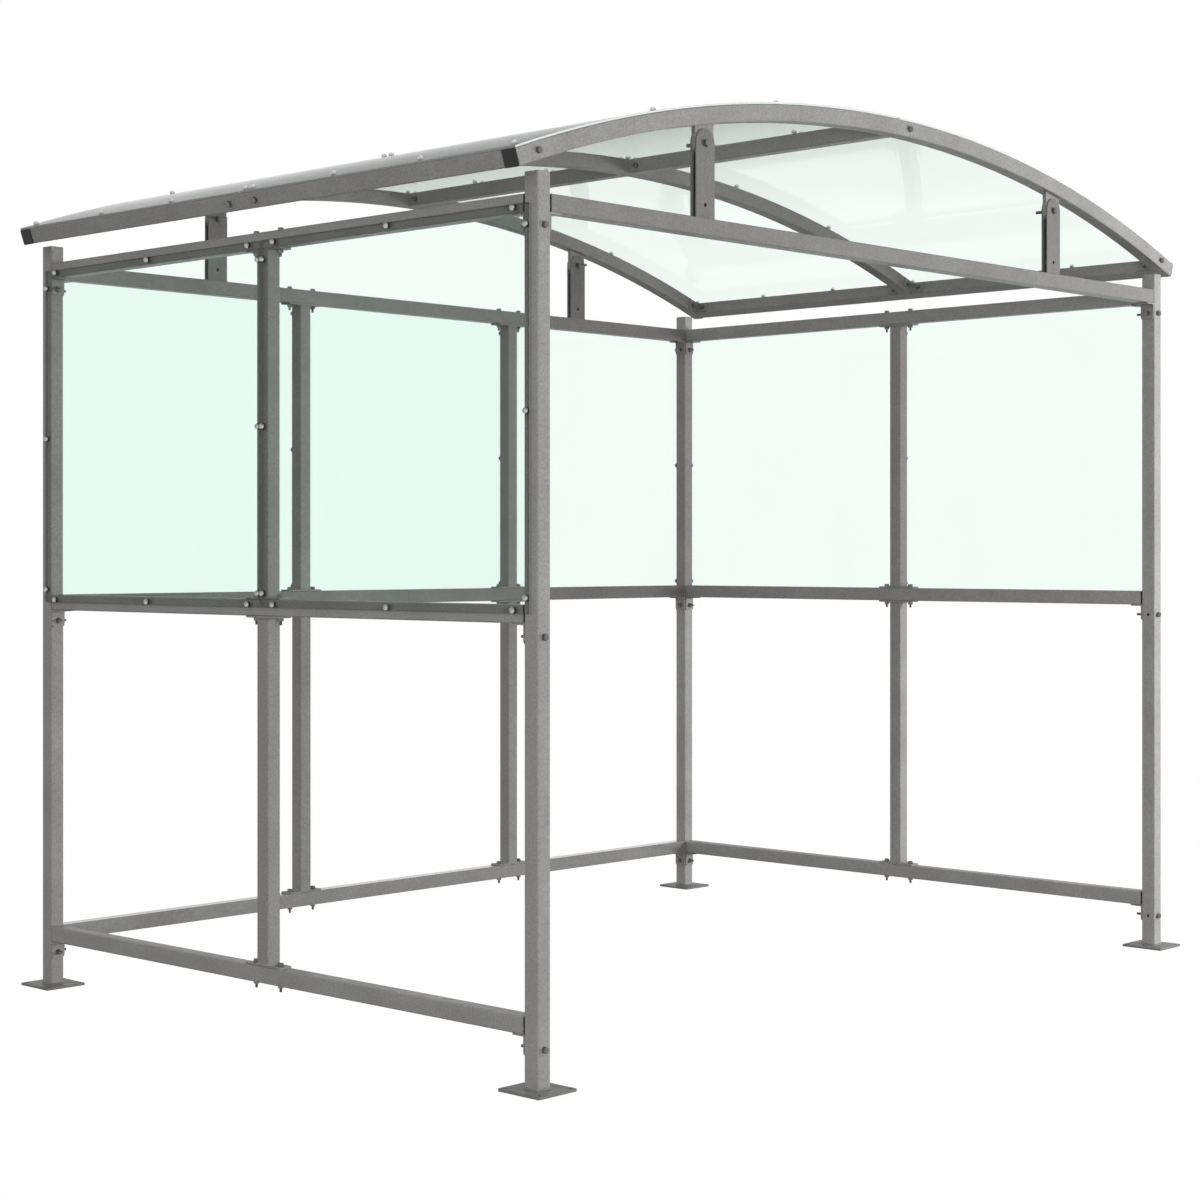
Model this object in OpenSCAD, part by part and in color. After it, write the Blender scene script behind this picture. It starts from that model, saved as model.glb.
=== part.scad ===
// Open smoking shelter: a bolted square-tube frame, seven clear upper panes and a curved clear roof.
// Millimetres. The floor is z = 0, x runs along the open front, and the front faces -y.

/* [Frame tube] */
// Outside width of the square tube used throughout
tube = 45; // [40:1:60]
// Wall thickness of the square tube
tube_wall = 2; // [1.5:0.5:4]
// Outside corner radius of the square tube
tube_corner = 4; // [2:0.5:6]
// Inside corner radius of the square tube
tube_inner = 2.5; // [1:0.5:4]

/* [Frame layout] */
// Bay width along the back, centre line to centre line
bay_w = 985; // [900:5:1100]
// Bay depth along the sides, centre line to centre line
bay_d = 985; // [900:5:1100]
// Rail spacing up the walls, centre line to centre line
bay_h = 985; // [900:5:1050]
// Underside of the bottom rails above the floor
rail_low = 134; // [110:1:200]
// Corner post above the top of the top rail
post_rise = 51; // [20:1:60]
// Open joint between the end of a rail and its post
rail_gap = 4; // [1:0.5:6]

/* [Base plates] */
// Side of the square base plate
plate_w = 135; // [120:1:180]
// Thickness of the base plate
plate_t = 7; // [4:0.5:12]
// Corner radius of the base plate
plate_corner = 3; // [1:0.5:10]
// Spacing of the anchor holes, both ways
plate_pitch = 110; // [90:1:140]
// Diameter of the anchor holes
plate_hole = 12; // [10:0.5:14]

/* [Rail brackets] */
// Thickness of the angle brackets
bracket_t = 4; // [3:0.5:6]
// Leg of the bracket under the rail
bracket_foot = 40; // [30:1:60]
// Leg of the bracket down the post
bracket_leg = 50; // [44:1:60]
// Width of the bracket across the tube
bracket_w = 43; // [32:1:45]
// Corner radius at the lower end of the bracket
bracket_round = 9; // [3:1:12]
// Inside bend radius of the bracket
bracket_bend = 3; // [1:0.5:5]
// Bolt centre below the underside of the rail
bolt_drop = 32; // [26:1:36]
// Bolt holes in brackets, posts, flanges and cleats
bolt_hole = 9; // [8.5:0.5:11]

/* [Wall uprights] */
// Length of the end flanges along the rail
flange_len = 140; // [120:1:180]
// Thickness of the end flanges
flange_t = 5; // [4:0.5:10]
// Spacing of the two flange bolts
flange_pitch = 100; // [80:1:110]
// Corner radius of the end flanges
flange_corner = 5; // [2:0.5:10]

/* [Wall panes] */
// Thickness of the clear wall panes
pane_t = 5; // [3:0.5:8]
// Open joint between neighbouring panes
pane_joint = 3; // [2:0.5:6]
// Corner radius of a pane
pane_corner = 3; // [1:0.5:10]
// Room between a sheet and the tube behind it
sheet_clear = 0.3; // [0.2:0.1:0.8]
// Screw centre line from the middle of the tube behind it
screw_in = 9; // [7:0.5:12]
// End screws of the top and bottom edges from the middle of the crossing tube
screw_end = 52; // [40:1:80]
// End screws of the upright edges from the middle of the crossing tube
screw_end_up = 45.5; // [40:0.5:80]
// Screws of the upright edges below even spacing
screw_drop = 6.5; // [0:0.5:12]
// Screw holes in panes and roof sheets
screw_hole = 6; // [5:0.5:7]

/* [Roof frame] */
// Radius of the top face of the roof arches
arch_r = 4700; // [4200:10:6000]
// Arch crown above the top of the top rail
crown_rise = 367; // [340:1:420]
// Arch end beyond the outside face of the frame
roof_over = 77; // [60:1:120]
// Thickness of the head of an arch end cap
cap_t = 3; // [2:0.5:6]
// Depth of the end cap plug inside the tube
cap_plug = 16; // [10:1:30]
// Room around the end cap plug
cap_clear = 0.25; // [0.2:0.05:0.5]

/* [Roof cleats] */
// Leg length of the corner cleats
cleat_leg = 52; // [44:1:70]
// Height of the corner cleats
cleat_h = 36; // [28:1:42]
// Thickness of the corner cleats
cleat_t = 4; // [3:0.5:6]
// Bolt centre from the corner of a cleat
cleat_bolt = 30; // [24:1:36]

/* [Roof uprights] */
// Distance of the roof uprights from the middle of the shelter
upright_x = 852; // [700:1:1000]
// Width of the folded upright
upright_w = 75; // [60:1:90]
// Depth of the folded upright, front to back
upright_d = 20; // [16:1:30]
// Sheet thickness of the folded upright
upright_t = 3.5; // [2.5:0.5:5]
// Pivot bolt below the underside of the arch
pivot_drop = 48; // [44:1:60]
// Pivot bolt hole
pivot_hole = 11; // [9:0.5:14]
// Lower spare hole above the rail
spare_rise = 36; // [25:1:60]
// Room between the arch lug and the folded upright
lug_clear = 0.5; // [0.3:0.1:1]

/* [Roof sheets] */
// Thickness of the clear roof sheets
roof_t = 5; // [3:0.5:8]
// Open joint between neighbouring roof sheets
roof_joint = 4; // [2:0.5:8]
// Ridge screws from the middle of the roof
roof_screw_ridge = 18; // [12:0.5:20]
// Eave screws from the end of the arch, measured flat
roof_screw_eave = 32; // [15:1:36]
// Middle screws from the centre line of the middle arch
roof_screw_mid = 14.5; // [10:0.5:18]
// Outer screws from the outside face of the frame
roof_screw_end = 33.5; // [10:0.5:38]

/* [Hidden] */
$fn = 48;
arch_fn = 360;
post_x = 1.5 * bay_w;
post_y = bay_d;
rails = [rail_low, rail_low + bay_h, rail_low + 2 * bay_h];
rail_top = rails[2] + tube;
post_top = rail_top + post_rise;
side_len = 2 * post_y - tube - 2 * rail_gap;
back_len = 2 * post_x - tube - 2 * rail_gap;
arch_z = rail_top + crown_rise - arch_r;
arch_mid = arch_r - tube / 2;
arch_half = post_x + tube / 2 + roof_over;
arch_end = asin(arch_half / arch_r);
eave_at = arch_end - asin(tube / 2 / arch_r);
pivot_z = arch_z + sqrt(pow(arch_r - tube, 2) - pow(upright_x, 2)) - pivot_drop;
lug_t = upright_d - 2 * upright_t - 2 * lug_clear;
cut = 1;
steel = [0.55, 0.55, 0.54];
clear = [0.84, 0.94, 0.89, 0.35];
black = [0.06, 0.06, 0.06];

module round_square(w, h, r) {
    square([w, h - 2 * r], center = true);
    square([w - 2 * r, h], center = true);
    for (sx = [-1, 1], sy = [-1, 1])
        translate([sx * (w / 2 - r), sy * (h / 2 - r)])
            circle(r);
}

module tube_section() {
    difference() {
        round_square(tube, tube, tube_corner);
        round_square(tube - 2 * tube_wall, tube - 2 * tube_wall, tube_inner);
    }
}

module tube_x(len) {
    rotate([90, 0, 90])
        linear_extrude(height = len, center = true)
            tube_section();
}

module tube_y(len) {
    rotate([90, 0, 0])
        linear_extrude(height = len, center = true)
            tube_section();
}

module hole_x(d, len) {
    rotate([0, 90, 0])
        cylinder(d = d, h = len, center = true);
}

module hole_y(d, len) {
    rotate([90, 0, 0])
        cylinder(d = d, h = len, center = true);
}

// Bolt holes face the neighbouring rails; in the front posts the bolts pass right through to the front.
module corner_post(sx, sy) {
    color(steel)
        translate([sx * post_x, sy * post_y, 0])
            difference() {
                translate([0, 0, plate_t])
                    linear_extrude(height = post_top - plate_t)
                        tube_section();
                for (z = rails) {
                    translate([-sx * tube / 2, 0, z - bolt_drop])
                        hole_x(bolt_hole, tube);
                    translate([0, -sy * tube / 2, z - bolt_drop])
                        hole_y(bolt_hole, sy < 0 ? 4 * tube : tube);
                }
            }
}

module base_plates() {
    color(steel)
        for (sx = [-1, 1], sy = [-1, 1])
            translate([sx * post_x, sy * post_y, 0])
                difference() {
                    linear_extrude(height = plate_t)
                        round_square(plate_w, plate_w, plate_corner);
                    for (hx = [-1, 1], hy = [-1, 1])
                        translate([hx * plate_pitch / 2, hy * plate_pitch / 2, -cut])
                            cylinder(d = plate_hole, h = plate_t + 2 * cut);
                }
}

module side_rail(sx, level) {
    color(steel)
        translate([sx * post_x, 0, rails[level] + tube / 2])
            difference() {
                tube_y(side_len);
                for (s = [-1, 1])
                    translate([0, s * flange_pitch / 2, 0])
                        cylinder(d = bolt_hole, h = 2 * tube, center = true);
            }
}

module back_rail(level) {
    color(steel)
        translate([0, post_y, rails[level] + tube / 2])
            difference() {
                tube_x(back_len);
                for (m = [-1, 1], s = [-1, 1])
                    translate([m * bay_w / 2 + s * flange_pitch / 2, 0, 0])
                        cylinder(d = bolt_hole, h = 2 * tube, center = true);
            }
}

module front_top_rail() {
    color(steel)
        translate([0, -post_y, rails[2] + tube / 2])
            tube_x(back_len);
}

module flange() {
    difference() {
        linear_extrude(height = flange_t)
            round_square(flange_len, tube, flange_corner);
        for (s = [-1, 1])
            translate([s * flange_pitch / 2, 0, -cut])
                cylinder(d = bolt_hole, h = flange_t + 2 * cut);
    }
}

// A lower and an upper length, each with a bolted flange at both ends, parted by the middle rail.
module mullion() {
    stem = bay_h - tube;
    color(steel)
        for (level = [0, 1])
            translate([0, 0, rails[level] + tube]) {
                flange();
                translate([0, 0, flange_t])
                    linear_extrude(height = stem - 2 * flange_t)
                        tube_section();
                translate([0, 0, stem - flange_t])
                    flange();
            }
}

module side_mullion(sx) {
    translate([sx * post_x, 0, 0])
        rotate([0, 0, 90])
            mullion();
}

module back_mullion(sx) {
    translate([sx * bay_w / 2, post_y, 0])
        mullion();
}

// Angle bracket: the post face is x = 0 and the underside of the rail is z = 0.
module bracket() {
    leg_mid = bracket_leg / 2;
    difference() {
        union() {
            translate([0, -bracket_w / 2, -bracket_t])
                cube([bracket_foot, bracket_w, bracket_t]);
            rotate([90, 0, 90])
                linear_extrude(height = bracket_t) {
                    translate([0, -leg_mid])
                        round_square(bracket_w, bracket_leg, bracket_round);
                    translate([-bracket_w / 2, -leg_mid])
                        square([bracket_w, leg_mid]);
                }
            translate([bracket_t, 0, -bracket_t])
                rotate([90, 0, 0])
                    linear_extrude(height = bracket_w, center = true)
                        difference() {
                            translate([0, -bracket_bend])
                                square(bracket_bend);
                            translate([bracket_bend, -bracket_bend])
                                circle(bracket_bend);
                        }
        }
        translate([0, 0, -bolt_drop])
            hole_x(bolt_hole, 4 * bracket_t);
    }
}

module side_brackets(sx) {
    color(steel)
        for (z = rails, sy = [-1, 1])
            translate([sx * post_x, sy * (post_y - tube / 2), z])
                rotate([0, 0, -sy * 90])
                    bracket();
}

module cross_brackets(sy, levels) {
    color(steel)
        for (level = levels, sx = [-1, 1])
            translate([sx * (post_x - tube / 2), sy * post_y, rails[level]])
                rotate([0, 0, sx < 0 ? 0 : 180])
                    bracket();
}

// Places a piece on the arch line at an angle from the crown: local z points out, local x along the arch.
module on_arch(angle) {
    translate([0, 0, arch_z])
        rotate([0, angle, 0])
            translate([0, 0, arch_mid])
                children();
}

module arch_bow() {
    translate([0, 0, arch_z])
        rotate([90, 0, 0])
            rotate([0, 0, 90 - arch_end])
                rotate_extrude(angle = 2 * arch_end, $fn = arch_fn)
                    translate([arch_mid, 0])
                        tube_section();
}

module arch_bolt_holes() {
    translate([tube / 2 + cleat_bolt, 0, arch_z + arch_mid])
        hole_y(bolt_hole, 2 * tube);
    for (s = [-1, 1])
        on_arch(s * eave_at)
            translate([-s * (tube / 2 + cleat_bolt), 0, 0])
                hole_y(bolt_hole, 2 * tube);
}

// Plate under the arch with a round lower end, trimmed to the curve of the arch above it.
module arch_lug(sx) {
    intersection() {
        translate([sx * upright_x, 0, pivot_z])
            difference() {
                union() {
                    hole_y(upright_w, lug_t);
                    translate([-upright_w / 2, -lug_t / 2, 0])
                        cube([upright_w, lug_t, pivot_drop + tube]);
                }
                hole_y(pivot_hole, 2 * upright_d);
            }
        translate([0, 0, arch_z])
            rotate([90, 0, 0])
                cylinder(r = arch_r - tube + tube_wall / 2, h = 2 * upright_d, center = true, $fn = 2 * arch_fn);
    }
}

module end_arch(sy) {
    color(steel)
        translate([0, sy * post_y, 0]) {
            difference() {
                arch_bow();
                arch_bolt_holes();
            }
            arch_lug(-1);
            arch_lug(1);
        }
}

// The middle arch stops against the inner faces of the eave beams.
module middle_arch() {
    color(steel)
        difference() {
            arch_bow();
            arch_bolt_holes();
            for (s = [-1, 1])
                on_arch(s * eave_at)
                    translate([s * (tube / 2) - tube, -tube, -2 * tube])
                        cube([2 * tube, 2 * tube, 4 * tube]);
        }
}

module arch_end_caps() {
    plug = tube - 2 * tube_wall - 2 * cap_clear;
    color(black)
        for (sx = [-1, 1], sy = [-1, 1])
            on_arch(sx * arch_end)
                translate([0, sy * post_y, 0])
                    rotate([90, 0, sx * 90]) {
                        linear_extrude(height = cap_t)
                            round_square(tube, tube, tube_corner);
                        translate([0, 0, -cap_plug])
                            linear_extrude(height = cap_plug)
                                round_square(plug, plug, tube_corner);
                    }
}

module eave_beam(sx) {
    color(steel)
        on_arch(sx * eave_at)
            difference() {
                tube_y(2 * post_y - tube);
                for (s = [-1, 1]) {
                    translate([0, s * (tube / 2 + cleat_bolt), 0])
                        hole_x(bolt_hole, 2 * tube);
                    translate([-sx * tube / 2, s * (post_y - tube / 2 - cleat_bolt), 0])
                        hole_x(bolt_hole, tube);
                }
            }
}

module ridge_purlin() {
    color(steel)
        for (sy = [-1, 1])
            translate([0, sy * post_y / 2, arch_z + arch_mid])
                difference() {
                    tube_y(post_y - tube);
                    for (s = [-1, 1])
                        translate([0, s * (post_y / 2 - tube / 2 - cleat_bolt), 0])
                            hole_x(bolt_hole, 2 * tube);
                }
}

// Corner cleat in the first quadrant: one leg along x, one along y, both against the tubes.
module cleat() {
    difference() {
        linear_extrude(height = cleat_h, center = true) {
            square([cleat_leg, cleat_t]);
            square([cleat_t, cleat_leg]);
        }
        translate([cleat_bolt, 0, 0])
            hole_y(bolt_hole, 4 * cleat_t);
        translate([0, cleat_bolt, 0])
            hole_x(bolt_hole, 4 * cleat_t);
    }
}

module cleat_row() {
    for (y = [-post_y + tube / 2, tube / 2])
        translate([tube / 2, y, 0])
            cleat();
    for (y = [-tube / 2, post_y - tube / 2])
        translate([tube / 2, y, 0])
            mirror([0, 1, 0])
                cleat();
}

module roof_cleats() {
    color(steel) {
        on_arch(0)
            cleat_row();
        on_arch(-eave_at)
            cleat_row();
        on_arch(eave_at)
            mirror([1, 0, 0])
                cleat_row();
    }
}

// Folded upright, open towards -x: two round-topped cheeks and a web that stops below the arch lug.
module roof_upright() {
    stand = pivot_z - rail_top;
    difference() {
        union() {
            for (s = [-1, 1])
                translate([0, s * (upright_d - upright_t) / 2, 0])
                    rotate([90, 0, 0])
                        linear_extrude(height = upright_t, center = true) {
                            translate([-upright_w / 2, 0])
                                square([upright_w, stand]);
                            translate([0, stand])
                                circle(upright_w / 2, $fn = 96);
                        }
            translate([upright_w / 2 - upright_t, -upright_d / 2, 0])
                cube([upright_t, upright_d, stand - upright_w / 2 - lug_clear]);
        }
        translate([0, 0, stand])
            hole_y(pivot_hole, 2 * upright_d);
        translate([0, 0, spare_rise])
            hole_y(pivot_hole, 2 * upright_d);
    }
}

module roof_uprights(sy) {
    color(steel)
        for (sx = [-1, 1])
            translate([sx * upright_x, sy * post_y, rail_top])
                roof_upright();
}

// Upright pane centred on its bay, outside the frame, with three screw holes along each edge.
module pane(bay) {
    w = bay - pane_joint;
    h = bay_h - pane_joint;
    edge_x = bay / 2 - screw_in;
    edge_z = bay_h / 2 - screw_in;
    far_x = bay / 2 - screw_end;
    far_z = bay_h / 2 - screw_end_up;
    color(clear)
        translate([0, 0, rails[1] + tube / 2 + bay_h / 2])
            rotate([90, 0, 0])
                difference() {
                    linear_extrude(height = pane_t)
                        round_square(w, h, pane_corner);
                    for (s = [-1, 1], k = [-1, 0, 1]) {
                        translate([s * edge_x, k * far_z - screw_drop, -cut])
                            cylinder(d = screw_hole, h = pane_t + 2 * cut);
                        translate([k * far_x, s * edge_z, -cut])
                            cylinder(d = screw_hole, h = pane_t + 2 * cut);
                    }
                }
}

module side_pane(sx, sy) {
    translate([sx * (post_x + tube / 2 + sheet_clear), sy * bay_d / 2, 0])
        rotate([0, 0, sx * 90])
            pane(bay_d);
}

module back_pane(place) {
    translate([place * bay_w, post_y + tube / 2 + sheet_clear, 0])
        rotate([0, 0, 180])
            pane(bay_w);
}

// Screw holes round the border of a roof sheet, square to its curve.
module roof_screw_holes(sx, sy) {
    step_x = (arch_half - roof_screw_eave - roof_screw_ridge) / 3;
    step_y = (post_y + tube / 2 - roof_screw_end - roof_screw_mid) / 3;
    for (i = [0 : 3], k = [0 : 3])
        if (i == 0 || i == 3 || k == 0 || k == 3)
            translate([0, sy * (roof_screw_mid + k * step_y), arch_z])
                rotate([0, sx * asin((roof_screw_ridge + i * step_x) / (arch_r + roof_t)), 0])
                    translate([0, 0, arch_r + sheet_clear - cut])
                        cylinder(d = screw_hole, h = roof_t + 2 * cut);
}

// Quarter of the curved roof, lying on the arches from the ridge to the eave.
module roof_sheet(sx, sy) {
    start = asin(roof_joint / 2 / arch_r);
    len_y = post_y + tube / 2 - roof_joint / 2;
    color(clear)
        difference() {
            translate([0, sy * (roof_joint / 2 + len_y / 2), arch_z])
                rotate([90, 0, 0])
                    rotate([0, 0, sx > 0 ? 90 - arch_end : 90 + start])
                        rotate_extrude(angle = arch_end - start, $fn = arch_fn)
                            translate([arch_r + sheet_clear, -len_y / 2])
                                square([roof_t, len_y]);
            roof_screw_holes(sx, sy);
        }
}

corner_post(-1, -1);  // front_left_post
corner_post(1, -1);  // front_right_post
corner_post(-1, 1);  // back_left_post
corner_post(1, 1);  // back_right_post
base_plates();
side_rail(-1, 0);  // left_bottom_rail
side_rail(-1, 1);  // left_middle_rail
side_rail(-1, 2);  // left_top_rail
back_rail(0);  // back_bottom_rail
back_rail(1);  // back_middle_rail
back_rail(2);  // back_top_rail
side_rail(1, 0);  // right_bottom_rail
side_rail(1, 1);  // right_middle_rail
side_rail(1, 2);  // right_top_rail
front_top_rail();
side_mullion(-1);  // left_mullion
side_mullion(1);  // right_mullion
back_mullion(-1);  // back_left_mullion
back_mullion(1);  // back_right_mullion
side_brackets(-1);  // left_brackets
cross_brackets(1, [0, 1, 2]);  // back_brackets
side_brackets(1);  // right_brackets
cross_brackets(-1, [2]);  // front_brackets
end_arch(-1);  // front_arch
middle_arch();
end_arch(1);  // back_arch
arch_end_caps();
eave_beam(-1);  // left_eave_beam
eave_beam(1);  // right_eave_beam
ridge_purlin();
roof_cleats();
roof_uprights(-1);  // front_roof_uprights
roof_uprights(1);  // back_roof_uprights
side_pane(-1, -1);  // left_front_pane
side_pane(-1, 1);  // left_back_pane
back_pane(-1);  // back_left_pane
back_pane(0);  // back_middle_pane
back_pane(1);  // back_right_pane
side_pane(1, -1);  // right_front_pane
side_pane(1, 1);  // right_back_pane
roof_sheet(-1, -1);  // front_left_roof_sheet
roof_sheet(1, -1);  // front_right_roof_sheet
roof_sheet(-1, 1);  // back_left_roof_sheet
roof_sheet(1, 1);  // back_right_roof_sheet
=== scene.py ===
import math

import bpy
import numpy as np
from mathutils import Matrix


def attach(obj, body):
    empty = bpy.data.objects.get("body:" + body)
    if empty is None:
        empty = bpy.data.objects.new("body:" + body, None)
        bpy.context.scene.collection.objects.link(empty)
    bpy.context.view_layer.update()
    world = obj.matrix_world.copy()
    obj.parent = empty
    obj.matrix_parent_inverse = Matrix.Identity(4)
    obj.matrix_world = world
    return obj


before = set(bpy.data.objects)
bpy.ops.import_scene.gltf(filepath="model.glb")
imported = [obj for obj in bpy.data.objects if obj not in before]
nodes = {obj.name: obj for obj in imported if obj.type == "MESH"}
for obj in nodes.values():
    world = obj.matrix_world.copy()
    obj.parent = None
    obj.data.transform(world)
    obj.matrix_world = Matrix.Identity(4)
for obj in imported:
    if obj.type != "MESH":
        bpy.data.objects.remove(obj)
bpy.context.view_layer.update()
print("shelter frame loaded:", len(nodes), "nodes")

# sizes that the fasteners and welds take from the frame, in metres
shelter = {
    "postX": 1.4775, "postY": 0.985, "bay": 0.985, "tube": 0.045, "tubeWall": 0.002, "tubeCorner": 0.004,
    "railLow": 0.134, "bracketT": 0.004, "boltDrop": 0.032, "flangeT": 0.005, "flangePitch": 0.1, "plateT": 0.007,
    "archR": 4.7, "crownRise": 0.367, "roofOver": 0.077, "cleatT": 0.004, "cleatBolt": 0.03,
    "uprightX": 0.852, "uprightW": 0.075, "uprightD": 0.02, "uprightCorner": 0.0012, "pivotDrop": 0.048,
    "sheetClear": 0.0003, "paneT": 0.005, "roofT": 0.005,
}
halfTube = shelter["tube"] / 2
postX, postY = shelter["postX"], shelter["postY"]
railZ = shelter["railLow"] + shelter["bay"] * np.arange(3)  # undersides of the rails
railTop = railZ[2] + shelter["tube"]
archZ = railTop + shelter["crownRise"] - shelter["archR"]
archMid = shelter["archR"] - halfTube
archUnder = shelter["archR"] - shelter["tube"]
archEnd = math.asin((postX + halfTube + shelter["roofOver"]) / shelter["archR"])
eaveAt = archEnd - math.asin(halfTube / shelter["archR"])
pivotZ = archZ + math.sqrt(archUnder ** 2 - shelter["uprightX"] ** 2) - shelter["pivotDrop"]


# Copies of one local shape: point = place + frame * local, for all copies at once.
def placeCopies(local, places, frames):
    local = np.broadcast_to(local, (len(places),) + local.shape[-3:])
    return places[:, None, None, :] + np.einsum("nij,nrsj->nrsi", frames, local)


# A frame whose local z lies along each axis: z = axis, x = any direction square to it, y = z cross x.
def framesAlong(axes):
    z = np.asarray(axes, float)
    z = z / np.linalg.norm(z, axis=1, keepdims=True)
    side = np.where(np.abs(z[:, 2:3]) < 0.9, [[0.0, 0.0, 1.0]], [[1.0, 0.0, 0.0]])
    x = np.cross(side, z)
    x = x / np.linalg.norm(x, axis=1, keepdims=True)
    return np.stack([x, np.cross(z, x), z], axis=2)


# Quads between neighbouring rings of each copy; the rings close on themselves and the ends get one flat face,
# or the last ring joins the first where the rings run round a loop.
def meshFromRings(name, grid, loop=False, sharp=35.0):
    copies, rings, segs = grid.shape[:3]
    base = (np.arange(copies) * rings * segs)[:, None, None]
    r = np.arange(rings if loop else rings - 1)[None, :, None]
    s = np.arange(segs)[None, None, :]
    nextR, nextS = (r + 1) % rings, (s + 1) % segs
    quads = np.stack(np.broadcast_arrays(base + r * segs + s, base + r * segs + nextS,
                                         base + nextR * segs + nextS, base + nextR * segs + s), axis=-1)
    faces = quads.reshape(-1, 4).tolist()
    if not loop:
        start = np.arange(copies)[:, None] * rings * segs
        faces += (start + np.arange(segs)[::-1]).tolist()
        faces += (start + (rings - 1) * segs + np.arange(segs)).tolist()
    mesh = bpy.data.meshes.new(name)
    mesh.from_pydata(grid.reshape(-1, 3), [], faces)
    mesh.polygons.foreach_set("use_smooth", np.ones(len(mesh.polygons), bool))
    mesh.set_sharp_from_angle(angle=math.radians(sharp))
    mesh.update()
    piece = bpy.data.objects.new(name, mesh)
    bpy.context.scene.collection.objects.link(piece)
    return piece


def finishPiece(piece, material, slotName):
    piece.data.materials.append(material)
    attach(piece, "root")
    print("made", piece.name, len(piece.data.polygons), "faces")


def newMaterial(name):
    material = bpy.data.materials.new(name)
    material.use_nodes = True
    tree = material.node_tree
    tree.nodes.clear()
    return material, tree


def addNode(tree, kind, settings=None, **inputs):
    made = tree.nodes.new(kind)
    for key, value in (settings or {}).items():
        setattr(made, key, value)
    for key, value in inputs.items():
        made.inputs[key.replace("_", " ")].default_value = value
    return made


def setSurface(tree, shader):
    tree.links.new(shader, addNode(tree, "ShaderNodeOutputMaterial").inputs["Surface"])


def noiseAt(tree, scale, detail=3.0):
    coords = addNode(tree, "ShaderNodeTexCoord")
    noise = addNode(tree, "ShaderNodeTexNoise", Scale=scale, Detail=detail, Roughness=0.55)
    tree.links.new(coords.outputs["Object"], noise.inputs["Vector"])
    return noise.outputs["Fac"]


def remap(tree, source, low, high, outLow, outHigh):
    ramp = addNode(tree, "ShaderNodeMapRange", From_Min=low, From_Max=high, To_Min=outLow, To_Max=outHigh)
    tree.links.new(source, ramp.inputs["Value"])
    return ramp.outputs["Result"]


noiseLow, noiseHigh = 0.3, 0.7  # nearly all of a noise lies between these


def spreadNoise(tree, noise, outLow=0.0, outHigh=1.0):
    return remap(tree, noise, noiseLow, noiseHigh, outLow, outHigh)


def mixColour(tree, factor, colourA, colourB, blend="MIX"):
    mix = addNode(tree, "ShaderNodeMix", {"data_type": "RGBA", "blend_type": blend})
    for value, socket in ((factor, mix.inputs[0]), (colourA, mix.inputs[6]), (colourB, mix.inputs[7])):
        if hasattr(value, "is_linked"):
            tree.links.new(value, socket)
        elif isinstance(value, tuple):
            socket.default_value = (*value, 1.0)
        else:
            socket.default_value = value
    return mix.outputs[2]


def mixShader(tree, factor, shaderA, shaderB):
    mix = addNode(tree, "ShaderNodeMixShader")
    for source, socket in zip((factor, shaderA, shaderB), mix.inputs):
        tree.links.new(source, socket)
    return mix.outputs[0]


def mathNode(tree, operation, a, b=0.0):
    made = addNode(tree, "ShaderNodeMath", {"operation": operation})
    for value, socket in ((a, made.inputs[0]), (b, made.inputs[1])):
        if hasattr(value, "is_linked"):
            tree.links.new(value, socket)
        else:
            socket.default_value = value
    return made.outputs[0]


def addBump(tree, shader, height, strength, depth):
    bump = addNode(tree, "ShaderNodeBump", Strength=strength, Distance=depth)
    tree.links.new(height, bump.inputs["Height"])
    tree.links.new(bump.outputs[0], shader.inputs["Normal"])


greyCoat = {"dark": (0.275, 0.270, 0.262), "light": (0.323, 0.319, 0.310), "cloudScale": 6.0,
            "fleck": (0.46, 0.46, 0.45), "fleckScale": 900.0, "fleckFrom": 0.52, "fleckTo": 0.72, "fleckMost": 0.55,
            "mottle": 0.16, "mottleScale": 170.0, "metal": 0.05, "specular": 0.08,
            "roughLow": 0.32, "roughHigh": 0.46, "roughScale": 38.0, "coat": 0.1, "coatRough": 0.2,
            "peel": 0.12, "peelScale": 420.0, "peelDepth": 0.0004}
# the low back rail is glossier: its top, seen at a grazing angle, mirrors the bright room
glossyCoat = {**greyCoat, "dark": (0.225, 0.221, 0.214), "light": (0.264, 0.260, 0.253), "specular": 0.45,
              "roughLow": 0.1, "roughHigh": 0.16, "coat": 0.5, "coatRough": 0.06, "peel": 0.02}


# Grey metallic powder coat: slow clouds of tone, a mottle of some millimetres, fine bright flecks, faint orange peel.
def makeGreyCoat(name, look):
    material, tree = newMaterial(name)
    shader = addNode(tree, "ShaderNodeBsdfPrincipled", Metallic=look["metal"], Specular_IOR_Level=look["specular"],
                     Coat_Weight=look["coat"], Coat_Roughness=look["coatRough"])
    setSurface(tree, shader.outputs[0])
    cloud = spreadNoise(tree, noiseAt(tree, look["cloudScale"], 4.0))
    fleck = remap(tree, noiseAt(tree, look["fleckScale"], 2.0), look["fleckFrom"], look["fleckTo"], 0.0,
                  look["fleckMost"])
    mottle = spreadNoise(tree, noiseAt(tree, look["mottleScale"]), 1.0 - look["mottle"], 1.0 + look["mottle"])
    tone = mixColour(tree, 1.0, mixColour(tree, cloud, look["dark"], look["light"]), mottle, "MULTIPLY")
    tree.links.new(mixColour(tree, fleck, tone, look["fleck"]), shader.inputs["Base Color"])
    rough = spreadNoise(tree, noiseAt(tree, look["roughScale"]), look["roughLow"], look["roughHigh"])
    tree.links.new(rough, shader.inputs["Roughness"])
    addBump(tree, shader, noiseAt(tree, look["peelScale"], 2.0), look["peel"], look["peelDepth"])
    return material


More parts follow.
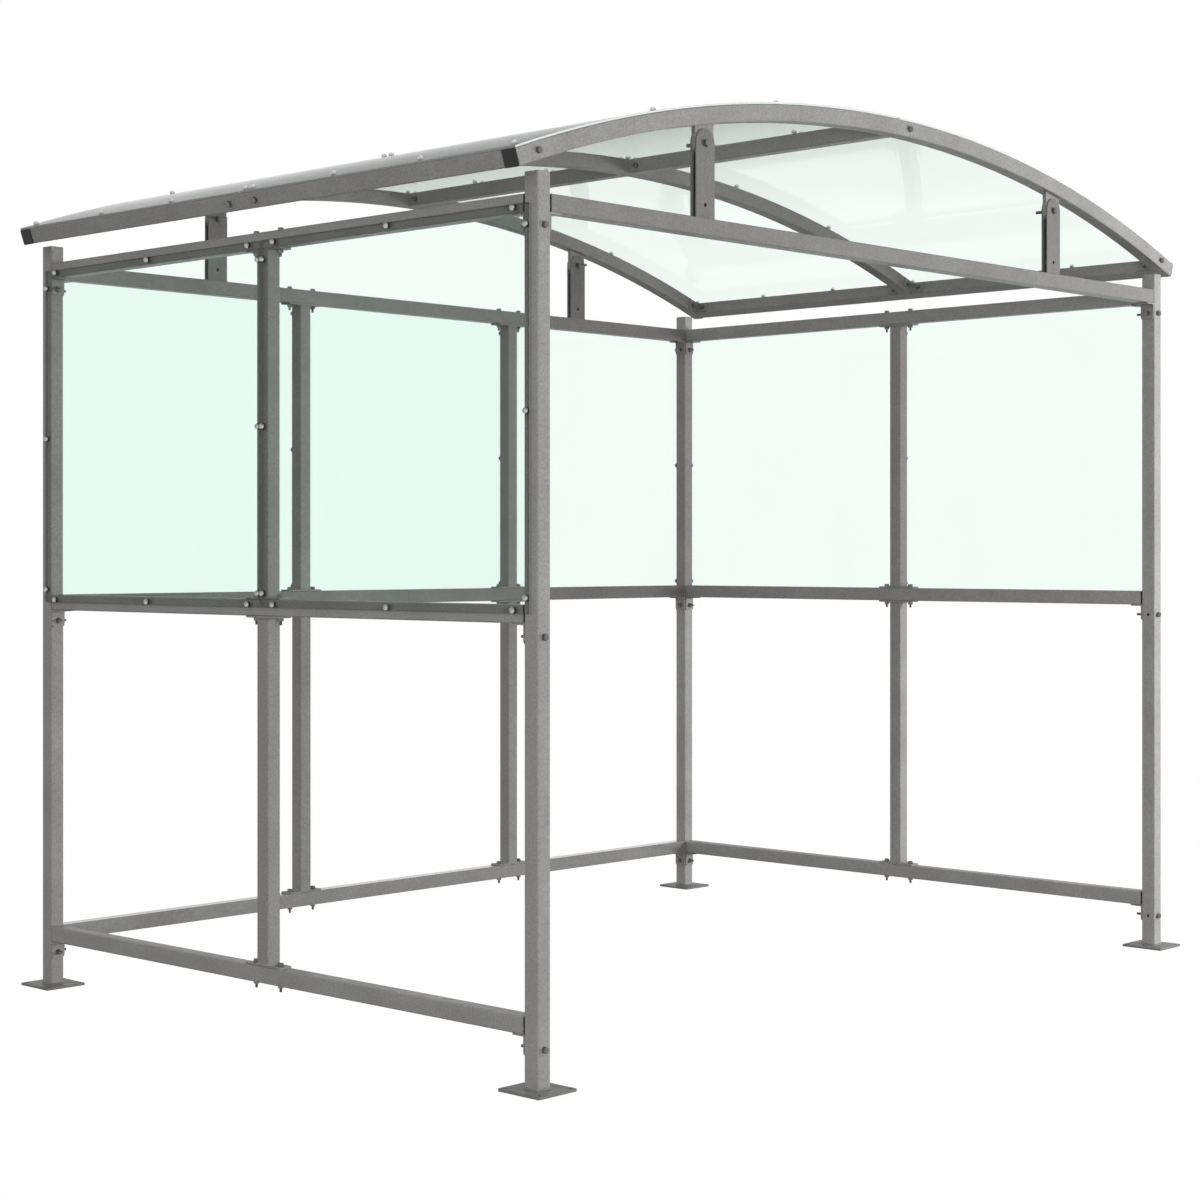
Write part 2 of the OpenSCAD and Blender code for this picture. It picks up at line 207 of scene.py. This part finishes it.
# dull is the share of the base colour that dull patches keep, dullRough what they add to the roughness
brightSteel = {"base": (0.78, 0.78, 0.77), "metal": 1.0, "rough": 0.30, "patchScale": 260.0,
               "dull": 0.82, "dullRough": 0.1}
boltSteel = {**brightSteel, "base": (0.28, 0.28, 0.272), "rough": 0.38, "patchScale": 320.0}
zincSteel = {**brightSteel, "base": (0.28, 0.28, 0.275), "rough": 0.3, "patchScale": 320.0}
paleSteel = {**brightSteel, "base": (0.94, 0.94, 0.93), "metal": 0.3, "rough": 0.42}


# Bare fastener metal: plated colour with a slightly uneven tone and roughness.
def makeFastenerSteel(name, look):
    material, tree = newMaterial(name)
    shader = addNode(tree, "ShaderNodeBsdfPrincipled", Metallic=look["metal"])
    setSurface(tree, shader.outputs[0])
    patch = spreadNoise(tree, noiseAt(tree, look["patchScale"]))
    dull = tuple(look["dull"] * c for c in look["base"])
    tree.links.new(mixColour(tree, patch, dull, look["base"]), shader.inputs["Base Color"])
    rough = remap(tree, patch, 0.0, 1.0, look["rough"] + look["dullRough"], look["rough"])
    tree.links.new(rough, shader.inputs["Roughness"])
    return material


blackPlug = {"base": (0.012, 0.012, 0.013), "lighter": 1.9, "rough": 0.55, "roughSpread": 0.07,
             "grainScale": 700.0, "bump": 0.2, "bumpDepth": 0.0002}


# Moulded black plastic with a fine spark-eroded grain.
def makeBlackPlug(name, look):
    material, tree = newMaterial(name)
    shader = addNode(tree, "ShaderNodeBsdfPrincipled")
    setSurface(tree, shader.outputs[0])
    grain = noiseAt(tree, look["grainScale"], 2.0)
    lighter = tuple(look["lighter"] * c for c in look["base"])
    tree.links.new(mixColour(tree, grain, look["base"], lighter), shader.inputs["Base Color"])
    rough = spreadNoise(tree, grain, look["rough"] - look["roughSpread"], look["rough"] + look["roughSpread"])
    tree.links.new(rough, shader.inputs["Roughness"])
    addBump(tree, shader, grain, look["bump"], look["bumpDepth"])
    return material


# edge is the tone of the sawn edges, end of those that face along x; on the roof sheets the pale edges are a painted
# highlight and the darker ends painted shade; lamp dims the light that passes
clearPane = {"tint": (0.905, 0.988, 0.940), "cloud": 0.985, "cloudScale": 2.5, "rough": 0.03, "ior": 1.1,
             "edge": (0.24, 0.26, 0.25), "end": (0.24, 0.26, 0.25), "edgeRough": 0.5,
             "sawScale": 350.0, "sawShade": (0.85, 0.85, 0.85), "lamp": (0.76, 0.725, 0.745)}
clearRoof = {**clearPane, "tint": (0.930, 0.998, 0.962), "cloud": 0.975, "rough": 0.04, "ior": 1.065,
             "edge": (0.80, 0.85, 0.82), "end": (0.33, 0.335, 0.33), "lamp": (0.61, 0.62, 0.615)}
facesAlong = 0.6  # a face looks along an axis when its normal has more than this of it


# Clear sheet: pale green glassy slab with frosted sawn edges, where the normal leaves the sheet's own direction; the
# edges that face along x take the end tone, which on the roof is painted shade.
# Lamps and bounced light pass straight through it, dimmed.
def makeClearSheet(name, look, facing):
    material, tree = newMaterial(name)
    slab = addNode(tree, "ShaderNodeBsdfPrincipled", Roughness=look["rough"], IOR=look["ior"], Transmission_Weight=1.0)
    cloud = spreadNoise(tree, noiseAt(tree, look["cloudScale"], 2.0))
    clouded = tuple(look["cloud"] * c for c in look["tint"])
    tree.links.new(mixColour(tree, cloud, look["tint"], clouded), slab.inputs["Base Color"])
    coords = addNode(tree, "ShaderNodeTexCoord")
    axes = addNode(tree, "ShaderNodeSeparateXYZ")
    tree.links.new(coords.outputs["Normal"], axes.inputs[0])
    atEnd = mathNode(tree, "GREATER_THAN", mathNode(tree, "ABSOLUTE", axes.outputs["X"]), facesAlong)
    # on the roof the x-facing ends are painted darker (painted shade) and the other edges painted pale (painted
    # highlight)
    edge = mixColour(tree, atEnd, look["edge"], look["end"])
    sawn = addNode(tree, "ShaderNodeBsdfPrincipled", Roughness=look["edgeRough"])
    marks = spreadNoise(tree, noiseAt(tree, look["sawScale"], 2.0))
    shaded = mixColour(tree, 1.0, edge, look["sawShade"], "MULTIPLY")
    tree.links.new(mixColour(tree, marks, edge, shaded), sawn.inputs["Base Color"])
    flat = mathNode(tree, "GREATER_THAN", mathNode(tree, "ABSOLUTE", axes.outputs[facing]), facesAlong)
    path = addNode(tree, "ShaderNodeLightPath")
    passing = addNode(tree, "ShaderNodeBsdfTransparent", Color=(*look["lamp"], 1.0))
    result = slab.outputs[0]
    for ray in ("Is Shadow Ray", "Is Diffuse Ray"):
        result = mixShader(tree, path.outputs[ray], result, passing.outputs[0])
    setSurface(tree, mixShader(tree, flat, sawn.outputs[0], result))
    return material


# painted light and shade: the share of greyCoat's colours that each member's coat keeps, below 1 where the member is
# painted darker as if shaded and above 1 where it is painted lighter as if better lit
paintedLightPerMember = {"front_roof_uprights": 0.645, "back_roof_uprights": 0.74, "base_plates": 0.68,
              "front_top_rail": 0.75, "back_middle_rail": 0.76, "back_top_rail": 0.88,
              "left_mullion": 0.9, "back_left_mullion": 0.92, "back_right_mullion": 0.92, "right_mullion": 1.02,
              "front_right_post": 1.12, "back_right_post": 1.12, "right_bottom_rail": 1.08,
              "right_middle_rail": 1.14, "right_top_rail": 1.2,
              "middle_arch": 0.88, "right_eave_beam": 1.1, "ridge_purlin": 1.12}
paintedLightCoats = {}


# a copy of greyCoat with its colours scaled by a painted light or shade factor, one copy per factor
def coatWithPaintedLight(tone):
    if tone not in paintedLightCoats:
        scaled = {key: tuple(tone * c for c in greyCoat[key]) for key in ("dark", "light", "fleck")}
        paintedLightCoats[tone] = makeGreyCoat("greyCoat", {**greyCoat, **scaled})
    return paintedLightCoats[tone]


glossyMaterial = makeGreyCoat("glossyCoat", glossyCoat)
screwMaterial = makeFastenerSteel("brightSteel", brightSteel)
boltMaterial = makeFastenerSteel("boltSteel", boltSteel)
zincMaterial = makeFastenerSteel("zincSteel", zincSteel)
paleMaterial = makeFastenerSteel("paleSteel", paleSteel)
plugMaterial = makeBlackPlug("blackPlug", blackPlug)
sidePaneMaterial = makeClearSheet("clearSidePane", clearPane, "X")
backPaneMaterial = makeClearSheet("clearBackPane", clearPane, "Y")
roofMaterial = makeClearSheet("clearRoofSheet", clearRoof, "Z")


def frameMaterial(name):
    if name.endswith("roof_sheet"):
        return roofMaterial
    if name.endswith("_pane"):
        return backPaneMaterial if name.startswith("back") else sidePaneMaterial
    if name == "back_bottom_rail":
        return glossyMaterial
    # the other members take greyCoat with their painted light or shade, the unlisted ones the plain coat
    return plugMaterial if name == "arch_end_caps" else coatWithPaintedLight(paintedLightPerMember.get(name, 1.0))


for name, node in nodes.items():
    for used in node.material_slots:
        used.material = frameMaterial(name)
print("materials set on the frame")


hexBolt = {"flats": 0.0145, "head": 0.0068, "nut": 0.0068, "washerR": 0.0085, "washerT": 0.0018, "shank": 0.004,
           "tail": 0.010, "tailEnd": 0.0006, "pitch": 0.00125, "threadDepth": 0.0006, "segs": 24, "threadRings": 33}
postBolt = {**hexBolt, "tail": 0.0155, "threadRings": 49}
pivotBolt = {**hexBolt, "flats": 0.017, "head": 0.0064, "nut": 0.0084, "washerR": 0.010, "washerT": 0.002,
             "shank": 0.005, "tail": 0.030, "pitch": 0.0015, "threadDepth": 0.0007, "threadRings": 81}
noLimit = 10.0  # a round limit that never cuts the hexagon


# Reach of a hexagon at each angle: half the flats / cos(angle to the nearest flat).
def hexReach(halfFlats, angle):
    return halfFlats / np.cos((angle + math.pi / 6) % (math.pi / 3) - math.pi / 6)


# Bolt with washers and nut, turned about local z from the head (below 0) through the grip to the threaded tail.
# Ring radius = the smaller of a round limit and the hexagon's reach at that angle; on the tail the radius drops by a
# triangle wave of z / pitch - angle / full turn, which is the thread.
def makeBolts(name, places, axes, grips, size, material):
    places, grips = np.asarray(places, float), np.asarray(grips, float)
    flat, shank, washer, thick = size["flats"] / 2, size["shank"], size["washerR"], size["washerT"]
    head, nut = size["head"], size["nut"]
    bevelled = 0.5 * (flat + flat / math.cos(math.pi / 6))  # where the bevel cuts the corners
    rim = 0.98 * washer
    tailZ = np.linspace(thick + nut, thick + nut + size["tail"], size["threadRings"])
    # columns: height, 1 if it moves with the grip, round limit, 1 if hexagonal, 1 if threaded
    table = [[-thick - head, 0, 0.86 * flat, 0, 0], [-thick - head, 0, 0.95 * flat, 0, 0],
             [-thick - 0.86 * head, 0, bevelled, 1, 0], [-thick - 0.7 * head, 0, noLimit, 1, 0],
             [-thick, 0, noLimit, 1, 0], [-thick, 0, washer, 0, 0], [-0.1 * thick, 0, washer, 0, 0],
             [0, 0, rim, 0, 0], [0, 0, shank, 0, 0], [0, 1, shank, 0, 0], [0, 1, rim, 0, 0],
             [0.1 * thick, 1, washer, 0, 0], [thick, 1, washer, 0, 0], [thick, 1, noLimit, 1, 0],
             [thick + 0.75 * nut, 1, noLimit, 1, 0], [thick + 0.9 * nut, 1, bevelled, 1, 0],
             [thick + nut, 1, 0.95 * flat, 0, 0], [thick + nut, 1, 1.04 * shank, 0, 0]]
    table += [[z, 1, shank, 0, 1] for z in tailZ]
    table += [[tailZ[-1] + size["tailEnd"], 1, 0.8 * shank, 0, 0]]
    height, moves, limit, isHex, isThread = np.array(table).T[:, :, None]
    angle = 2 * math.pi * np.arange(size["segs"]) / size["segs"]
    radius = np.where(isHex > 0, np.minimum(limit, hexReach(flat, angle)), limit)
    wave = np.abs(2 * ((height / size["pitch"] - angle / (2 * math.pi)) % 1.0) - 1.0)
    radius = radius - isThread * size["threadDepth"] * wave
    z = height[None] + moves[None] * grips[:, None, None]
    local = np.stack(np.broadcast_arrays(radius * np.cos(angle), radius * np.sin(angle), z), axis=-1)
    grid = placeCopies(local, places, framesAlong(axes))
    finishPiece(meshFromRings(name, grid), material, "frame_steel")


# post and bracket bolts: right through the front posts, from inside the tube everywhere else
boltZ = railZ - shelter["boltDrop"]
throughGrip = shelter["tube"] + shelter["bracketT"]
shortGrip = shelter["tubeWall"] + shelter["bracketT"]
inner = halfTube - shelter["tubeWall"]
frontBolts = [((sx * postX, -postY - halfTube, z), (0, 1, 0), throughGrip) for sx in (-1, 1) for z in boltZ]
sideBolts = [((sx * postX, postY - inner, z), (0, -1, 0), shortGrip) for sx in (-1, 1) for z in boltZ]
crossBolts = [((sx * (postX - inner), postY, z), (-sx, 0, 0), shortGrip) for sx in (-1, 1) for z in boltZ]
crossBolts += [((sx * (postX - inner), -postY, boltZ[2]), (-sx, 0, 0), shortGrip) for sx in (-1, 1)]
makeBolts("front_post_bolts", *zip(*frontBolts), postBolt, boltMaterial)
makeBolts("bracket_bolts", *zip(*(sideBolts + crossBolts)), hexBolt, boltMaterial)

# mullion flange bolts: heads up, nuts below each rail
flangeT = shelter["flangeT"]
levels = [(railZ[0] + shelter["tube"] + flangeT, shelter["tube"] + flangeT),
          (railZ[1] + shelter["tube"] + flangeT, shelter["tube"] + 2 * flangeT),
          (railTop, shelter["tube"] + flangeT)]
halfPitch, halfBay = shelter["flangePitch"] / 2, shelter["bay"] / 2
sideSpots = [(sx * postX, s * halfPitch) for sx in (-1, 1) for s in (-1, 1)]
backSpots = [(m * halfBay + s * halfPitch, postY) for m in (-1, 1) for s in (-1, 1)]
flangeBolts = [((x, y, z), (0, 0, -1), grip) for x, y in sideSpots + backSpots for z, grip in levels]
makeBolts("mullion_bolts", *zip(*flangeBolts), hexBolt, boltMaterial)


def alongArch(angle):
    return np.array([math.cos(angle), 0.0, -math.sin(angle)])


# Point on the arch line: centre + out * archMid + along * shift, with out = (sin a, 0, cos a).
def onArch(angle, shift, y):
    out = np.array([math.sin(angle), 0.0, math.cos(angle)])
    return np.array([0.0, y, archZ]) + out * archMid + alongArch(angle) * shift


# roof bolts: through the arches at every cleat, and through the ridge and the eaves
cleatAway = halfTube + shelter["cleatBolt"]
cleatT = shelter["cleatT"]
archGrip = shelter["tube"] + cleatT
roofBolts = []
for angle, shift in ((0.0, cleatAway), (-eaveAt, cleatAway), (eaveAt, -cleatAway)):
    roofBolts += [(onArch(angle, shift, -postY - halfTube), (0, 1, 0), archGrip),
                  (onArch(angle, shift, -halfTube - cleatT), (0, 1, 0), archGrip + cleatT),
                  (onArch(angle, shift, postY + halfTube), (0, -1, 0), archGrip)]
endAway = postY - cleatAway
for y, atEnd in ((-endAway, True), (-cleatAway, False), (cleatAway, False), (endAway, True)):
    roofBolts.append((onArch(0.0, -halfTube, y), alongArch(0.0), archGrip))
    for s in (-1, 1):
        outward = s * alongArch(s * eaveAt)
        if atEnd:  # only through the cleat and the eave's inner wall
            roofBolts.append((onArch(s * eaveAt, -s * (halfTube + cleatT), y), outward, shortGrip))
        else:
            roofBolts.append((onArch(s * eaveAt, s * halfTube, y), -outward, archGrip))
makeBolts("roof_cleat_bolts", *zip(*roofBolts), hexBolt, boltMaterial)

pivotY = postY + shelter["uprightD"] / 2
pivots = [((sx * shelter["uprightX"], sy * pivotY, pivotZ), (0, -sy, 0), shelter["uprightD"])
          for sx in (-1, 1) for sy in (-1, 1)]
makeBolts("roof_pivot_bolts", *zip(*pivots), pivotBolt, zincMaterial)


domeScrew = {"radius": 0.0080, "height": 0.0086, "rim": 0.0016, "socket": 0.0025, "socketDepth": 0.0026,
             "socketEdge": 0.0003, "shank": 0.0027, "reach": 0.007, "tip": 0.0012, "sealR": 0.0086, "sealT": 0.0036,
             "segs": 20}
roofScrew = {**domeScrew, "sealT": 0.0014, "sealR": 0.0076}


# Rings about local z from a table of heights and radii, the same for every copy.
def ringsAbout(radius, height, segs, places, axes):
    angle = 2 * math.pi * np.arange(segs) / segs
    local = np.stack(np.broadcast_arrays(radius * np.cos(angle), radius * np.sin(angle), height[:, None]), axis=-1)
    return placeCopies(local, np.asarray(places, float), framesAlong(axes))


# Dome-headed screw on a seal, about local z: r = radius * sin(t), z = rim + (height - rim) * cos(t) above the seal for
# the dome, with a hexagonal socket sunk into the crown; the seal is a washer with rounded edges below it.
def makeScrews(name, places, axes, size, material, seal):
    t = np.radians([90.0, 74.0, 58.0, 43.0, 30.0])
    lift, rim, domeR, shank, socket = (size[key] for key in ("sealT", "rim", "radius", "shank", "socket"))
    crown = lift + 0.97 * size["height"]
    radius = np.concatenate([[0.6 * shank, shank, shank, 0.97 * domeR, domeR], domeR * np.sin(t),
                             [1.25 * socket, socket, socket]])
    height = np.concatenate([[-size["reach"], size["tip"] - size["reach"], lift, lift, lift + 0.4 * rim],
                             lift + rim + (size["height"] - rim) * np.cos(t),
                             [crown, crown - size["socketEdge"], crown - size["socketDepth"]]])
    angle = 2 * math.pi * np.arange(size["segs"]) / size["segs"]
    rings = np.broadcast_to(radius[:, None], (len(radius), len(angle))).copy()
    rings[-2:] = hexReach(socket, angle)
    grid = ringsAbout(rings, height, size["segs"], places, axes)
    finishPiece(meshFromRings(name, grid), material, "frame_steel")
    radius = size["sealR"] * np.array([0.6, 0.95, 1.0, 1.0, 0.95, 0.6])[:, None]
    height = lift * np.array([0.0, 0.0, 0.15, 0.85, 1.0, 1.0])
    grid = ringsAbout(radius, height, size["segs"], places, axes)
    finishPiece(meshFromRings(name.replace("screws", "seals"), grid), *seal)


# three screws along each edge of a pane, as (along the wall, up) from the middle of its bay
paneScrews = {"in": 0.009, "across": 0.4405, "up": 0.447, "drop": 0.0065}
edge = halfBay - paneScrews["in"]
ring = [(s * edge, k * paneScrews["up"] - paneScrews["drop"]) for s in (-1, 1) for k in (-1, 0, 1)]
ring += [(k * paneScrews["across"], s * edge) for s in (-1, 1) for k in (-1, 0, 1)]
paneMid = railZ[1] + halfTube + halfBay
proud = halfTube + shelter["sheetClear"] + shelter["paneT"]
blackSeal = (plugMaterial, "end_cap")
for side, sx in (("left", -1), ("right", 1)):
    spots = [(sx * (postX + proud), sy * halfBay + a, paneMid + b) for sy in (-1, 1) for a, b in ring]
    makeScrews(side + "_pane_screws", spots, [(sx, 0, 0)] * len(spots), domeScrew, screwMaterial, blackSeal)
spots = [(m * shelter["bay"] + a, postY + proud, paneMid + b) for m in (-1, 0, 1) for a, b in ring]
makeScrews("back_pane_screws", spots, [(0, 1, 0)] * len(spots), domeScrew, screwMaterial, blackSeal)

# twelve screws round each roof sheet: first and last of four, across (x) and along (y) from the middle
roofScrews = {"x": (0.018, 1.545), "y": (0.0145, 0.974)}
sheetTop = shelter["archR"] + shelter["sheetClear"] + shelter["roofT"]
border = [(x, y) for i, x in enumerate(np.linspace(*roofScrews["x"], 4))
          for j, y in enumerate(np.linspace(*roofScrews["y"], 4)) if i in (0, 3) or j in (0, 3)]
flatSpots = np.array([(sx * x, sy * y) for sx in (-1, 1) for sy in (-1, 1) for x, y in border])
lean = np.arcsin(flatSpots[:, 0] / sheetTop)
outward = np.stack([np.sin(lean), 0 * lean, np.cos(lean)], axis=1)
spots = outward * sheetTop + np.stack([0 * lean, flatSpots[:, 1], 0 * lean + archZ], axis=1)
makeScrews("roof_sheet_screws", spots, outward, roofScrew, paleMaterial, (paleMaterial, "frame_steel"))


weldBead = {"leg": 0.0035, "bulge": 0.0006, "ripple": 0.0028, "rippleShare": 0.25, "slant": 1.2, "sink": 0.0004,
            "rows": 5, "step": 0.0009}
uprightBead = {**weldBead, "leg": 0.003}


# Fillet weld round a rounded rectangle: the path walks the inner rectangle's corners while the normal turns, both by
# length; across it the bead runs from the wall to the plate, leg * (v, 1 - v) plus a bulge of sin(pi v) that ripples.
def weldGrid(width, depth, corner, size):
    hx, hy = width / 2 - corner, depth / 2 - corner
    turn = corner * math.pi / 2
    cx = np.array([hx, hx, hx, -hx, -hx, -hx, -hx, hx, hx])
    cy = np.array([-hy, hy, hy, hy, hy, -hy, -hy, -hy, -hy])
    lean = np.array([0, 0, 90, 90, 180, 180, 270, 270, 360])
    mark = np.cumsum([0, 2 * hy, turn, 2 * hx, turn, 2 * hy, turn, 2 * hx, turn])
    count = int(mark[-1] / size["step"])
    s = mark[-1] * np.arange(count) / count
    a = np.radians(np.interp(s, mark, lean))
    px = np.interp(s, mark, cx) + corner * np.cos(a)
    py = np.interp(s, mark, cy) + corner * np.sin(a)
    v = np.linspace(0, 1, size["rows"])[:, None]
    waves = round(mark[-1] / size["ripple"])
    wave = np.cos(2 * math.pi * waves * s / mark[-1] + size["slant"] * math.pi * v)
    swell = 1 - size["rippleShare"] + size["rippleShare"] * wave
    bulge = size["bulge"] * np.sin(math.pi * v) * swell
    root = np.full((1, count), -size["sink"])  # the hidden corner, just inside the steel
    off = np.concatenate([size["leg"] * v + bulge, root])
    up = np.concatenate([size["leg"] * (1 - v) + bulge, root])
    return np.stack([px + off * np.cos(a), py + off * np.sin(a), up], axis=-1)


# tone scales the coat's colours as painted light or shade; 1 leaves the plain coat
def makeWelds(name, local, places, frames, tone=1.0):
    grid = placeCopies(local, np.asarray(places, float), np.asarray(frames, float))
    finishPiece(meshFromRings(name, grid, loop=True, sharp=60.0), coatWithPaintedLight(tone), "frame_steel")


upright = np.eye(3)
upsideDown = np.diag([1.0, -1.0, -1.0])
corners = [(sx, sy) for sx in (-1, 1) for sy in (-1, 1)]
tubeWeld = weldGrid(shelter["tube"], shelter["tube"], shelter["tubeCorner"], weldBead)
# the foot welds take the base plates' painted shade
makeWelds("post_foot_welds", tubeWeld, [(sx * postX, sy * postY, shelter["plateT"]) for sx, sy in corners],
          [upright] * 4, paintedLightPerMember["base_plates"])
mullionSpots = [(-postX, 0.0), (postX, 0.0), (-halfBay, postY), (halfBay, postY)]
feet = [(x, y, railZ[k] + shelter["tube"] + flangeT) for x, y in mullionSpots for k in (0, 1)]
heads = [(x, y, railZ[k + 1] - flangeT) for x, y in mullionSpots for k in (0, 1)]
makeWelds("mullion_welds", tubeWeld, feet + heads, [upright] * len(feet) + [upsideDown] * len(heads))
uprightWeld = weldGrid(shelter["uprightW"], shelter["uprightD"], shelter["uprightCorner"], uprightBead)
makeWelds("roof_upright_welds", uprightWeld,
          [(sx * shelter["uprightX"], sy * postY, railTop) for sx, sy in corners], [upright] * 4)


# floor is its tone where it is seen, bounce its tone for the light it throws back; white is the share of plain white
# in what is seen, mirrored what a reflection keeps of that
studio = {"floorHalf": 60.0, "floor": (0.86, 0.86, 0.86), "bounce": (0.17, 0.17, 0.17),
          "white": 0.985, "mirrored": 0.45}
half = studio["floorHalf"]
floorMesh = bpy.data.meshes.new("floor")
floorMesh.from_pydata([(-half, -half, 0), (half, -half, 0), (half, half, 0), (-half, half, 0)], [], [(0, 1, 2, 3)])
floor = bpy.data.objects.new("floor", floorMesh)
bpy.context.scene.collection.objects.link(floor)


# 1 for rays that the viewer sees directly or through a sheet, a share of that in a reflection, else 0.
def seenRays(tree, mirrored=1.0):
    path = addNode(tree, "ShaderNodeLightPath")
    glossy = mathNode(tree, "MULTIPLY", path.outputs["Is Glossy Ray"], mirrored)
    seen = mathNode(tree, "MAXIMUM", path.outputs["Is Camera Ray"], path.outputs["Is Transmission Ray"])
    return mathNode(tree, "MAXIMUM", seen, glossy)


# pale floor: seen mostly as plain white, with the rest a matt surface that keeps the shadow
floorMaterial, tree = newMaterial("paleFloor")
seen = seenRays(tree, studio["mirrored"])
matt = addNode(tree, "ShaderNodeBsdfDiffuse")
tree.links.new(mixColour(tree, seen, studio["bounce"], studio["floor"]), matt.inputs["Color"])
white = addNode(tree, "ShaderNodeEmission")
setSurface(tree, mixShader(tree, mathNode(tree, "MULTIPLY", seen, studio["white"]), matt.outputs[0], white.outputs[0]))
floorMesh.materials.append(floorMaterial)

# sky: soft light, stronger from the left, from behind and low down; seen as plain white, and mirrored as white near
# the horizon and greyer higher up, between the heights mirrorFrom and mirrorTo
sky = {"level": 0.67, "left": 0.30, "behind": 0.32, "low": 0.22,
       "mirrorHigh": 0.4, "mirrorFrom": 0.14, "mirrorTo": 0.32}
world = bpy.data.worlds.new("softSky")
bpy.context.scene.world = world
world.use_nodes = True
tree = world.node_tree
tree.nodes.clear()
coords = addNode(tree, "ShaderNodeTexCoord")
axes = addNode(tree, "ShaderNodeSeparateXYZ")
tree.links.new(coords.outputs["Generated"], axes.inputs[0])
light, plain, mirrored = [addNode(tree, "ShaderNodeBackground", Color=(1.0, 1.0, 1.0, 1.0), Strength=1.0)
                          for part in range(3)]
glow = sky["level"]
for axis, gain in (("X", -sky["left"]), ("Y", sky["behind"]), ("Z", -sky["low"])):
    glow = mathNode(tree, "ADD", mathNode(tree, "MULTIPLY", axes.outputs[axis], gain), glow)
tree.links.new(glow, light.inputs["Strength"])
fade = remap(tree, axes.outputs["Z"], sky["mirrorFrom"], sky["mirrorTo"], 1.0, sky["mirrorHigh"])
tree.links.new(fade, mirrored.inputs["Strength"])
path = addNode(tree, "ShaderNodeLightPath")
result = mixShader(tree, seenRays(tree), light.outputs[0], plain.outputs[0])
result = mixShader(tree, path.outputs["Is Glossy Ray"], result, mirrored.outputs[0])
tree.links.new(result, addNode(tree, "ShaderNodeOutputWorld").inputs["Surface"])

# three soft lamps: a broad one overhead, one low at the front right and a weaker one low at the front left;
# the sheets mirror a plain white room, so only the broad one shows in a gloss
lamps = {
    "overheadLamp": {"place": (0.6, -1.8, 6.6), "aim": (0.2, -0.5, 1.5), "size": 5.0, "power": 62.0, "gloss": True},
    "frontLamp": {"place": (4.6, -4.8, 1.5), "aim": (0.6, -0.5, 1.3), "size": 2.4, "power": 345.0, "gloss": False},
    "fillLamp": {"place": (-4.0, -6.0, 1.2), "aim": (0.4, 0.0, 1.3), "size": 2.0, "power": 155.0, "gloss": False},
}
for name, lamp in lamps.items():
    lampData = bpy.data.lights.new(name, "AREA")
    lampData.shape, lampData.size, lampData.energy = "DISK", lamp["size"], lamp["power"]
    lampObject = bpy.data.objects.new(name, lampData)
    bpy.context.scene.collection.objects.link(lampObject)
    away = np.array(lamp["place"]) - np.array(lamp["aim"])
    lampObject.location = lamp["place"]
    lampObject.rotation_euler = (math.acos(away[2] / np.linalg.norm(away)), 0.0, math.atan2(away[0], -away[1]))
    lampObject.visible_glossy = lamp["gloss"]
    lampObject.visible_transmission = False

view = {"place": (-5.6173, -4.8308, 1.2866), "tilt": 90.0, "turn": -45.0, "lens": 70.814, "sensor": 36.0,
        "shift": (0.12463, -0.0387), "clipEnd": 200.0}
cameraData = bpy.data.cameras.new("photoCamera")
cameraData.sensor_width = view["sensor"]
cameraData.lens = view["lens"]
cameraData.shift_x, cameraData.shift_y = view["shift"]
cameraData.clip_end = view["clipEnd"]
camera = bpy.data.objects.new("photoCamera", cameraData)
bpy.context.scene.collection.objects.link(camera)
camera.location = view["place"]
camera.rotation_euler = (math.radians(view["tilt"]), 0.0, math.radians(view["turn"]))
bpy.context.scene.camera = camera
bpy.context.scene.view_settings.view_transform = "Standard"
print("floor, sky, lamps and camera set")
